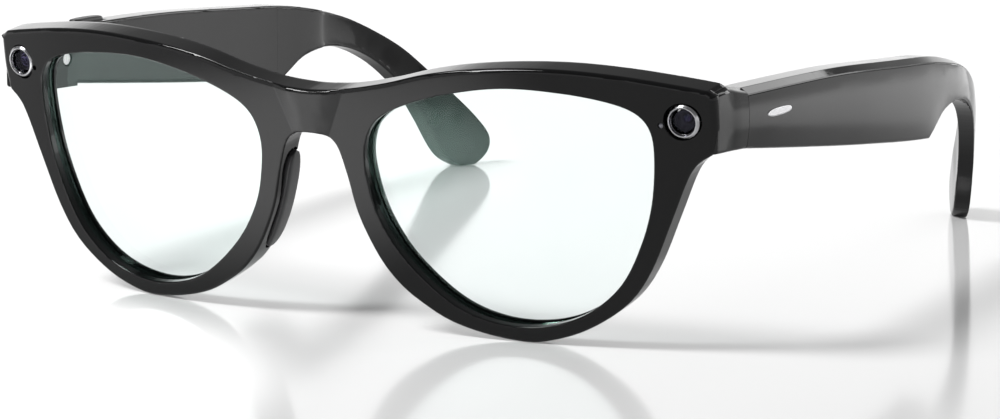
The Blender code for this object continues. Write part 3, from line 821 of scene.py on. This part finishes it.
def contact_pin(x, word):
    pin = turned("pin", [(0, 0), (0.3, 0.03), (0.5, 0.1), (0.62, 0.24), (0.65, 0.4), (0.65, 1.5), (0, 1.5)],
                 (x, 3.98, 36.8), (0, 1, 0), 40)
    return settled(pin, f"contact_pin_{word}")


def indicator_dome():
    x, z = DOT_AT
    face = front_y(x, z)
    profile = [(0, -0.02), (0.18, 0.0), (0.34, 0.05), (0.43, 0.14), (0.43, 1.0), (0.3, 1.15), (0, 1.15)]
    return settled(turned("dome", profile, (x, face, z), (0, -1, 0), 40), "indicator_dome")


def hinge_rod(name, low, high, radius, sides, edge=0.0):
    """An upright round bar on the hinge's axis."""
    return rod(name, (HINGE_X, HINGE_Y, low), (HINGE_X, HINGE_Y, high), radius, sides, edge)


def front_leaf(side, word):
    leaf = box("leaf", (65.0, 14.4, 35.4), (66.3, 18.6, 41.9), edge=0.2)
    for low, high in (KNUCKLES[0], KNUCKLES[2]):
        join(leaf, box("web", (65.1, 18.0, low + 0.25), (66.9, 20.6, high - 0.25), edge=0.12),
             hinge_rod("knuckle", low, high, KNUCKLE_RADIUS, 48, 0.15))
    cut(leaf, hinge_rod("bore", 30, 46, BORE_RADIUS, 32),
        leaf_screw_rod("hole", 64, 68, LEAF_HOLE_RADIUS, 24))
    return settled(leaf, f"front_leaf_{word}", side=side)


def temple_leaf(side, word):
    low, high = KNUCKLES[1]
    leaf = hinge_rod("leaf", low, high, KNUCKLE_RADIUS, 48, 0.15)
    join(leaf, box("arm", (66.4, 20.9, low + 0.2), (69.7, 22.3, high - 0.2), edge=0.1),
         box("plate", (68.5, 21.6, low - 0.9), (69.7, 28.5, high + 0.9), edge=0.15))
    cut(leaf, hinge_rod("bore", 30, 46, BORE_RADIUS, 32))
    return settled(leaf, f"temple_leaf_{word}", side=side)


def hinge_pin(side, word):
    """The hinge screw: a shank, a domed head with a slot, and a few turns of thread."""
    profile = [(0, -0.02), (0.6, 0.0), (0.95, 0.1), (1.2, 0.32), (1.2, 0.7), (PIN_RADIUS, 0.72)]
    for k in range(6):
        at = 5.6 + 0.3 * k
        profile += [(PIN_RADIUS, at), (PIN_RADIUS - 0.12, at + 0.15)]
    profile += [(PIN_RADIUS - 0.05, 7.6), (0.5, 7.8), (0, 7.8)]
    pin = turned("pin", profile, (HINGE_X, HINGE_Y, 43.1), (0, 0, 1), 40)
    cut(pin, box("slot", (HINGE_X - 1.5, HINGE_Y - 0.14, 42.8), (HINGE_X + 1.5, HINGE_Y + 0.14, 43.4)))
    return settled(pin, f"hinge_pin_{word}", side=side)


def inner_cover(side, word):
    cover = side_prism("cover", cavity_line(0.67), [(0.0, COVER_SEAT + 0.3), (0.0, TEMPLE_THICK)])
    if side > 0:
        cut(cover, plain_prism("switch_way", SWITCH_WAY, 3, 7))
    sliced(cover, 1, np.arange(20, 150.4, 1.5))
    for piece in (hinge_rod("knuckle_way", 34.7, 43.4, 2.4, 40),
                  box("arm_way", (65, 20.5, 36.2), (70.1, 23.6, 41.0))):
        cut(cover, moved(piece, off_temple))
    return settled(cover, f"inner_cover_{word}", on_temple, side)


def grille(side, word):
    """The speaker's outlet: a thin plate with two rows of round holes."""
    plate = follow_prism("grille", list(np.linspace(73.3, 82.7, 12)), 0.3, 0.9, 2.4, 3.4, bottom_z)
    holes = []
    for row in (2.68, 3.12):
        for y in np.arange(73.9, 82.3, 0.56):
            z = float(bottom_z(y))
            holes.append(rod("hole", (-row, y, z - 1), (-row, y, z + 2), 0.16, 12))
    cutter = holes[0]
    for hole in holes[1:]:
        edit(cutter, lambda bm: bm.from_mesh(hole.data))
        bpy.data.objects.remove(hole)
    cut(plate, cutter)
    return settled(plate, f"speaker_grille_{word}", on_temple, side)


def slide_knob():
    """The power switch's knob with grip ridges."""
    knob = box("knob", (-TEMPLE_THICK - 0.48, 36.6, 37.3), (-4.1, 39.6, 39.1), edge=0.16)
    for k in range(4):
        y = 37.2 + 0.6 * k
        cut(knob, box("ridge", (-TEMPLE_THICK - 1, y - 0.11, 37.0), (-TEMPLE_THICK - 0.3, y + 0.11, 39.4)))
    return settled(knob, "slide_knob", on_temple)


def press_button():
    """The capture button: a long crowned key with rounded ends."""
    middle, half_long, half_wide = 32.0, 4.5, 1.25
    rings = []
    for drop, grow in ((-1.7, 0.0), (0.30, 0.0), (0.52, 0.06), (0.68, 0.2), (0.75, 0.5)):
        ring = []
        for a, b in superellipse(72, 0.35, 0.6):
            along = (half_long - grow) * a
            crown = 0.06 * (1 - (along / half_long) ** 2) if drop > 0.7 else 0
            y = middle + along
            ring.append(((half_wide - grow) * b - 2.75, y, float(top_z(y)) + drop + crown - 0.06))
        rings.append(ring)
    return settled(loft("button", rings), "press_button", on_temple, -1)


def temple_inlay(side, word):
    """A plain slim metal bar set into the temple's outer face near the front."""
    steps = ((0.5, 0.0), (0.02, 0.0), (-0.08, 0.05), (-0.13, 0.14), (-0.15, 0.3))
    rings = [[(-depth, 29.4 + (4.2 - grow) * a, 38.4 + (0.72 - grow) * b)
              for a, b in superellipse(64, 0.8, 0.8)] for depth, grow in steps]
    return settled(loft("inlay", rings), f"temple_inlay_{word}", on_temple, side)


# ------ materials

def set_stops(ramp, stops):
    """Gives a colour ramp its stops, each a place and a colour."""
    elements = ramp.color_ramp.elements
    while len(elements) < len(stops):
        elements.new(0.5)
    for element, (at, colour) in zip(elements, stops):
        element.position = at
        element.color = (*colour, 1)


class Finish:
    """A procedural material: one Principled shader and helpers for what drives it."""

    def __init__(self, name, **values):
        self.material = bpy.data.materials.new(name)
        self.material.use_nodes = True
        self.tree = self.material.node_tree
        self.shader = self.tree.nodes["Principled BSDF"]
        self.place = self.tree.nodes.new("ShaderNodeTexCoord").outputs["Object"]
        for socket, value in values.items():
            self.set(socket.replace("_", " "), value)

    def node(self, kind, inputs=None, **settings):
        """A node with its settings, and with its inputs linked or set."""
        made = self.tree.nodes.new("ShaderNode" + kind)
        for key, value in settings.items():
            setattr(made, key, value)
        for key, value in (inputs or {}).items():
            self.plug(made.inputs[key], value)
        return made

    def plug(self, socket, value):
        if isinstance(value, bpy.types.NodeSocket):
            self.tree.links.new(value, socket)
        else:
            socket.default_value = value

    def set(self, socket, value):
        self.plug(self.shader.inputs[socket], value)

    def stretched(self, scale, stretch=(1, 1, 1), turn=(0, 0, 0)):
        """Object coordinates scaled to waves per metre along x, y, z."""
        scales = [scale * s for s in stretch]
        return self.node("Mapping", {"Vector": self.place, "Scale": scales, "Rotation": turn}).outputs[0]

    def noise(self, scale, detail=3.0, rough=0.55, stretch=(1, 1, 1)):
        return self.node("TexNoise", {"Vector": self.stretched(scale, stretch), "Scale": 1.0,
                                      "Detail": detail, "Roughness": rough}).outputs["Fac"]

    def cells(self, scale):
        return self.node("TexVoronoi", {"Vector": self.stretched(scale), "Scale": 1.0}).outputs["Distance"]

    def waves(self, scale, stretch, distortion):
        return self.node("TexWave", {"Vector": self.stretched(scale, stretch), "Scale": 1.0,
                                     "Distortion": distortion},
                         wave_type="BANDS", bands_direction="DIAGONAL").outputs["Fac"]

    def bricks(self, scale, width, height):
        place = self.stretched(scale, turn=(math.pi / 2, 0, math.pi / 2))
        return self.node("TexBrick", {"Vector": place, "Scale": 1.0, "Brick Width": width,
                                      "Row Height": height, "Mortar Size": 0.06,
                                      "Color1": (0, 0, 0, 1), "Color2": (0.25, 0.25, 0.25, 1),
                                      "Mortar": (1, 1, 1, 1)}).outputs["Color"]

    def ramp(self, value, *stops):
        ramp = self.node("ValToRGB", {"Fac": value})
        set_stops(ramp, stops)
        return ramp.outputs["Color"]

    def span(self, value, low, high, near=0.0, far=1.0):
        return self.node("MapRange", {"Value": value, "From Min": near, "From Max": far,
                                      "To Min": low, "To Max": high}).outputs["Result"]

    def both(self, a, b, operation="MULTIPLY"):
        return self.node("Math", {0: a, 1: b}, operation=operation).outputs[0]

    def bump(self, height, distance):
        bump = self.node("Bump", {"Height": height, "Distance": distance, "Strength": 1.0})
        self.set("Normal", bump.outputs["Normal"])


def patterned(name, tones, cloud, rough, grain, relief=0.0, kind="noise", ends=(0.3, 0.7), **values):
    """A finish whose colour drifts over one pattern, while its roughness and relief follow another."""
    m = Finish(name, **values)
    broad, fine = (getattr(m, kind)(*pattern) for pattern in (cloud, grain))
    m.set("Base Color", m.ramp(broad, *zip(ends, tones)))
    m.set("Roughness", m.span(fine, *rough, *ends))
    if relief:
        m.bump(fine, relief)
    return m.material


def coated_glass(name, haze, tint, mirror, rough, least, ends):
    """Thin glass, nearly clear, with a tinted mirror that grows at glancing angles."""
    m = Finish(name)
    smear = m.noise(*haze)
    clear = m.node("BsdfTransparent", {"Color": m.ramp(smear, *zip(ends, tint))})
    shine = m.node("BsdfGlossy", {"Color": m.ramp(smear, *zip(ends, mirror)),
                                  "Roughness": m.span(smear, *rough)})
    facing = m.node("LayerWeight", {"Blend": 0.5}).outputs["Facing"]
    share = m.both(m.both(m.both(facing, 5.0, "POWER"), 0.9), least, "ADD")
    mix = m.node("MixShader", {"Fac": share, 1: clear.outputs[0], 2: shine.outputs[0]})
    output = next(n for n in m.tree.nodes if n.type == "OUTPUT_MATERIAL")
    m.plug(output.inputs["Surface"], mix.outputs[0])
    m.tree.nodes.remove(m.shader)
    return m.material


def polished_black():
    """Injection-moulded nylon, polished, with faint flow marks and dust-fine pits."""
    m = Finish("polished_black", IOR=1.32)
    fine = m.noise(900, 3)
    m.set("Base Color", m.ramp(m.noise(38, 4), (0.3, (0.0018, 0.0018, 0.0020)),
                               (0.7, (0.0032, 0.0032, 0.0035))))
    m.set("Roughness", m.span(fine, 0.03, 0.08, 0.3, 0.7))
    pits = m.span(m.cells(620), 0.0, 1.0, 0.0, 0.12)
    m.bump(m.both(m.span(fine, 0.0, 0.5), pits, "ADD"), 0.0000012)
    return m.material


def coated_element():
    """The taking lens: near-black glass with a violet and blue anti-reflection coat."""
    m = Finish("coated_element", IOR=1.7, Roughness=0.03, Coat_Weight=0.6, Coat_Roughness=0.02)
    tint = m.noise(900, 1)
    m.set("Base Color", m.ramp(tint, (0.35, (0.010, 0.006, 0.030)), (0.5, (0.030, 0.012, 0.050)),
                               (0.65, (0.008, 0.012, 0.045))))
    m.set("Specular Tint", m.ramp(tint, (0.35, (0.75, 0.45, 1.0)), (0.65, (0.4, 0.5, 1.0))))
    return m.material


def flex_film():
    """Amber polyimide with copper tracks under it."""
    m = Finish("flex_film", IOR=1.6)
    tracks = m.waves(4200, (0.05, 0.05, 1), 0.6)
    m.set("Base Color", m.ramp(tracks, (0.35, (0.30, 0.12, 0.02)), (0.6, (0.56, 0.26, 0.07))))
    m.set("Roughness", m.span(tracks, 0.3, 0.5))
    m.set("Metallic", m.span(tracks, 0.0, 0.35, 0.5, 0.9))
    m.bump(tracks, 0.00001)
    return m.material


def circuit_board():
    """Green solder mask over copper, with pads and chips."""
    m = Finish("circuit_board", IOR=1.5)
    parts = m.bricks(900, 1.6, 0.8)
    tracks = m.waves(2600, (0.1, 1, 1), 3.0)
    m.set("Base Color", m.ramp(m.both(parts, tracks), (0.0, (0.012, 0.075, 0.035)),
                               (0.35, (0.02, 0.13, 0.06)), (0.8, (0.45, 0.33, 0.14))))
    m.set("Roughness", m.span(tracks, 0.28, 0.5))
    m.bump(parts, 0.00003)
    return m.material


# ------ assembly

def add(piece, body, slot, material, *nodes):
    piece.data.materials.clear()
    piece.data.materials.append(material)
    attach(piece, body)
    if nodes:
        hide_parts(*nodes)
    return piece


def paint(material, *nodes):
    """Gives CAD nodes that stay as they are a better finish."""
    for name in nodes:
        slots = frame["nodes"][name].data.materials
        slots.clear()
        slots.append(material)


WORDS = ((1, "left"), (-1, "right"))
black, element = polished_black(), coated_element()
film, board = flex_film(), circuit_board()
# Fine spark-eroded plastic, as on the covers and the capture button
satin = patterned("satin_black", ((0.010, 0.010, 0.0105), (0.016, 0.016, 0.017)), (60, 3),
                  (0.26, 0.42), (5200, 2, 0.7), 0.000012, IOR=1.46)
# Silky elastomer of the nose pads and the switch knob
pad = patterned("soft_pad", ((0.018, 0.018, 0.019), (0.028, 0.028, 0.030)), (150, 2), (0.3, 0.5),
                (3600, 3, 0.65), 0.000010, IOR=1.44, Sheen_Weight=0.15, Sheen_Roughness=0.4)
# Clear lenses with a faint green mirror
lens = coated_glass("lens_glass", (55, 3), ((0.965, 0.99, 0.988), (0.975, 0.994, 0.992)),
                    ((0.60, 0.92, 0.80), (0.66, 0.92, 0.84)), (0.015, 0.04), 0.028, (0.35, 0.65))
# Smoked cover glass over a module, with a violet coating
window = coated_glass("window_glass", (400, 2), ((0.62, 0.62, 0.68), (0.68, 0.68, 0.74)),
                      ((0.80, 0.80, 0.95), (0.86, 0.84, 1.0)), (0.02, 0.05), 0.014, (0.3, 0.7))
# Dark anodised ring with turning marks
ring = patterned("ring_metal", ((0.30, 0.30, 0.31), (0.42, 0.42, 0.43)), (300, 2), (0.16, 0.30),
                 (2600, 2, 0.5), 0.000003, Metallic=1.0)
# Polished silver-coloured inlay with a brushed top
BRUSHED = (700, 3, 0.6, (1, 0.05, 3))
bright = patterned("bright_metal", ((0.40, 0.40, 0.41), (0.52, 0.52, 0.53)), BRUSHED, (0.14, 0.26),
                   BRUSHED, 0.000002, Metallic=1.0)
# Hinge steel with fine lengthwise grinding
steel = patterned("machined_steel", ((0.46, 0.46, 0.47), (0.62, 0.61, 0.60)), (240, 3), (0.22, 0.38),
                  (1500, 3, 0.6, (1, 1, 0.06)), 0.000004, Metallic=1.0)
gold = patterned("gold_plate", ((0.80, 0.56, 0.24), (0.90, 0.68, 0.34)), (800, 2), (0.18, 0.34),
                 (4200, 3), 0.000002, Metallic=1.0)
# Smoked diffuser with a fine prismatic pattern
frosted = patterned("frosted_lamp", ((0.16, 0.16, 0.18), (0.07, 0.07, 0.085)), (2600,), (0.15, 0.4),
                    (2600,), 0.00002, "cells", (0.0, 0.6), IOR=1.5, Coat_Weight=0.5)
silver = patterned("lamp_silver", ((0.36, 0.33, 0.42), (0.16, 0.14, 0.22)), (1800,), (0.12, 0.3),
                   (1800,), 0.00001, "cells", (0.0, 0.6), Metallic=1.0)
baffle = patterned("baffle_black", ((0.004, 0.004, 0.005), (0.009, 0.009, 0.011)), (3800, 2),
                   (0.28, 0.46), (3800, 2), 0.000006, IOR=1.4)
# Aluminium laminate of the battery, slightly crinkled
foil = patterned("pouch_foil", ((0.40, 0.41, 0.43), (0.56, 0.57, 0.59)), (260, 4, 0.6), (0.3, 0.5),
                 (260, 4, 0.6), 0.00006, Metallic=0.8)
case = patterned("speaker_case", ((0.015, 0.015, 0.016), (0.05, 0.05, 0.052)), (1400,), (0.45, 0.7),
                 (1400,), 0.00003, "cells", (0.0, 0.7), Metallic=0.3)
pale = patterned("pale_floor", ((0.90, 0.90, 0.90), (0.92, 0.92, 0.92)), (3, 3), (0.09, 0.12), (3, 3),
                 IOR=1.5)


def make_front():
    shell = settled(front_shell(), "front_shell", on_front)
    add(shell, "front", "gloss_black", black, "front_frame")
    add(brow_cover(), "front", "inner_black", satin, "brow_rear_cover")
    for side, word in WORDS:
        add(clear_lens(side, word), "front", "lens_clear", lens, f"lens_{word}")
        add(nose_pad(side, word), "front", "pad_black", pad, f"nose_pad_{word}")
        add(front_leaf(side, word), "front", "steel", steel, f"hinge_front_leaf_{word}")
        add(hinge_pin(side, word), "front", "steel", steel, f"hinge_screw_{word}")
        add(contact_pin(2.3 * side, word), "front", "gold", gold, f"charging_contact_{word}")
    add(contact_plate(), "front", "inner_black", satin, "contact_holder")
    add(module_ring(1, "camera"), "front", "bezel_metal", ring, "camera_bezel")
    add(module_ring(-1, "light"), "front", "bezel_metal", ring, "light_bezel")
    add(module_window(1, "camera"), "front", "dark_glass", window, "camera_glass")
    add(module_window(-1, "light"), "front", "diffuser", window, "light_diffuser")
    add(camera_inside(), "front", "inner_black", baffle, "camera_barrel")
    add(camera_element(), "front", "dark_glass", element)
    add(lamp_inside(), "front", "cell", silver, "light_lamp")
    add(indicator_dome(), "front", "diffuser", frosted, "indicator_light")


def make_temples():
    for side, word in WORDS:
        body = f"{word}_temple"
        add(temple_shell(side, word), body, "gloss_black", black, f"temple_shell_{word}")
        add(inner_cover(side, word), body, "inner_black", black, f"temple_inner_cover_{word}")
        add(temple_leaf(side, word), body, "steel", steel, f"hinge_temple_leaf_{word}")
        add(grille(side, word), body, "steel", steel, f"speaker_mesh_{word}")
        add(temple_inlay(side, word), body, "steel", bright)
        paint(steel, f"temple_core_{word}", f"temple_microphone_{word}")
        paint(film, f"temple_flex_{word}")
        paint(case, f"speaker_{word}")
    paint(foil, "battery")
    paint(satin, "power_switch_base")
    paint(board, "camera_sensor", "light_board", "main_board")
    paint(film, "front_flex_cable", "touch_sensor")
    paint(steel, "leaf_screw_left", "leaf_screw_right", "bridge_microphone", "button_switch")
    add(slide_knob(), "power_switch", "pad_black", pad, "power_switch")
    add(press_button(), "capture_button", "inner_black", satin, "capture_button")


# ------ the studio

CAMERA_AZIMUTH = math.radians(29.92)
CAMERA_ELEVATION = math.radians(10.83)
CAMERA_DISTANCE = 0.585
CAMERA_LENS = 129.024


def placed(name, data, at, toward):
    """Puts a lamp or the camera in the scene, looking at a point."""
    thing = bpy.data.objects.new(name, data)
    bpy.context.scene.collection.objects.link(thing)
    thing.location = at
    thing.rotation_mode = "QUATERNION"
    thing.rotation_quaternion = (Vector(toward) - Vector(at)).to_track_quat("-Z", "Y")
    return thing


def make_camera():
    data = bpy.data.cameras.new("camera")
    data.sensor_width = 36
    data.lens = CAMERA_LENS
    data.clip_start, data.clip_end = 0.01, 50
    level = math.cos(CAMERA_ELEVATION)
    back = Vector((math.sin(CAMERA_AZIMUTH) * level, -math.cos(CAMERA_AZIMUTH) * level,
                   math.sin(CAMERA_ELEVATION)))
    aim = Vector((36.5, -MIDDLE_Y, 23.3)) * MM
    bpy.context.scene.camera = placed("camera", data, aim + back * CAMERA_DISTANCE, aim)


def make_floor():
    bm = bmesh.new()
    bmesh.ops.create_circle(bm, cap_ends=True, segments=64, radius=6)
    floor = new_object("floor", bm)
    floor.location.z = -0.0001
    floor.data.materials.append(pale)


def area_light(name, at, toward, width, height, strength):
    data = bpy.data.lights.new(name, "AREA")
    data.shape = "RECTANGLE"
    data.size, data.size_y = width, height
    data.energy = strength * width * height * math.pi
    placed(name, data, at, toward)


def make_world():
    """A white room: bright near the horizon, dimmer above."""
    world = bpy.context.scene.world = bpy.data.worlds.new("studio")
    world.use_nodes = True
    tree = world.node_tree
    background = next(n for n in tree.nodes if n.type == "BACKGROUND")
    coords = tree.nodes.new("ShaderNodeTexCoord")
    split = tree.nodes.new("ShaderNodeSeparateXYZ")
    height = tree.nodes.new("ShaderNodeValToRGB")
    tree.links.new(coords.outputs["Generated"], split.inputs[0])
    tree.links.new(split.outputs["Z"], height.inputs["Fac"])
    tree.links.new(height.outputs["Color"], background.inputs["Color"])
    levels = ((0.0, 1.3), (0.09, 1.4), (0.19, 1.5), (0.28, 0.6), (0.38, 0.26), (0.62, 0.25), (1.0, 0.3))
    set_stops(height, [(at, (level,) * 3) for at, level in levels])


def make_lights():
    """Three softboxes, and a pool of light on the floor, front left, that the bridge mirrors."""
    area_light("left_key", (-0.40, -0.48, 0.80), (0, -0.06, 0.03), 0.24, 0.34, 30.0)
    area_light("back_strip", (0.17, 0.84, 0.53), (0, 0, 0.04), 0.42, 0.18, 2.8)
    area_light("side_card", (0.48, 1.0, 0.14), (0.07, 0, 0.03), 0.95, 0.15, 1.95)
    pool = Vector((-55, -70 - MIDDLE_Y, 0)) * MM
    spot = bpy.data.lights.new("pool", "SPOT")
    spot.energy = 62.0
    spot.spot_size = math.radians(14.0)
    spot.spot_blend = 1.0
    spot.shadow_soft_size = 0.002
    placed("pool", spot, pool + Vector((-0.28, 0, 0.55)), pool)


bpy.context.scene.view_settings.view_transform = "Standard"
make_camera()
make_world()
make_floor()
make_lights()
make_front()
make_temples()
